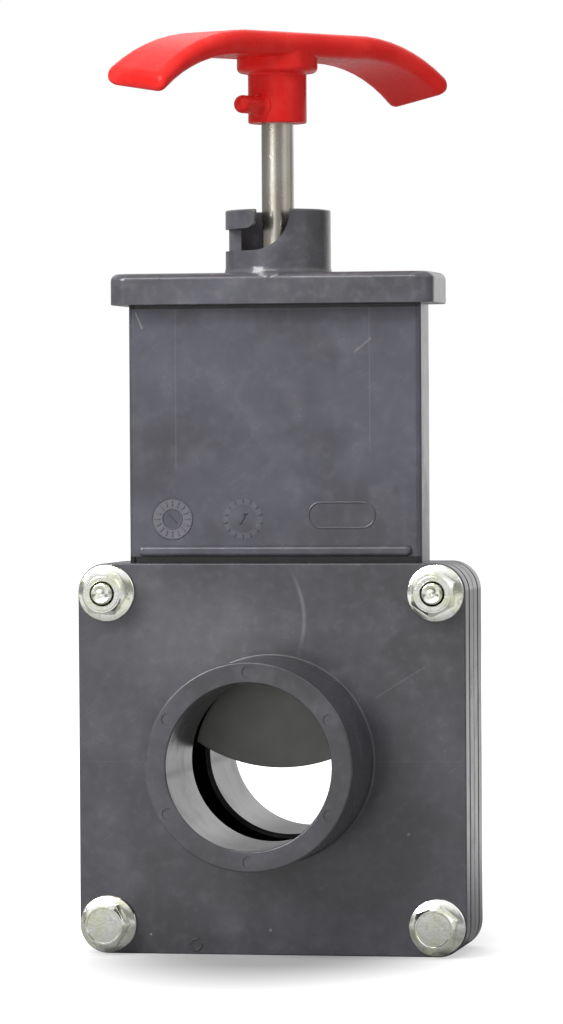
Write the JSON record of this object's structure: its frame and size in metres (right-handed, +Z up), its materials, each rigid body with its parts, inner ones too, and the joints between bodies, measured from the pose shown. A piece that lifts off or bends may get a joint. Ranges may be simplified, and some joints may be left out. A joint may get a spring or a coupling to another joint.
{
  "type": "blade gate valve",
  "caption": "Plastic blade gate valve with a bolted square body, a spigot on each side, a flat bonnet, a twist-lock collar and a lifting T-handle.",
  "frame": {"origin": "middle of the bottom of the body, on the surface the valve stands on", "axes": "+Z up along the rod, Y along the flow with the front at -Y, +X to the right seen from the front"},
  "size_m": [0.0954, 0.085, 0.2238],
  "materials": {
    "grey_plastic": "satin moulded",
    "black_rubber": "smooth moulded",
    "gate_plastic": "smooth semi-gloss",
    "stainless_steel": "drawn",
    "red_plastic": "gloss moulded",
    "zinc_steel": "bright zinc plated"
  },
  "bodies": {
    "valve": {"front_body": "grey_plastic", "rear_body": "grey_plastic", "front_seal": "black_rubber", "rear_seal": "black_rubber", "bonnet": "grey_plastic", "bonnet_cap": "grey_plastic", "rod_gland": "black_rubber", "bolt_top_left": "zinc_steel", "bolt_top_right": "zinc_steel", "bolt_bottom_left": "zinc_steel", "bolt_bottom_right": "zinc_steel", "nut_top_left": "zinc_steel", "nut_top_right": "zinc_steel", "nut_bottom_left": "zinc_steel", "nut_bottom_right": "zinc_steel"},
    "gate": {"gate_blade": "gate_plastic", "gate_hanger": "grey_plastic"},
    "handle": {"rod": "stainless_steel", "rod_clip": "stainless_steel", "handle": "red_plastic"}
  },
  "joints": [
    {"name": "gate_slide", "type": "slide", "parent": "valve", "child": "gate", "axis": [0, 0, 1], "range_m": [-0.0226, 0.0245]},
    {"name": "handle_turn", "type": "hinge", "parent": "gate", "child": "handle", "pos_m": [0, 0, 0.2], "axis": [0, 0, 1], "continuous": true}
  ]
}
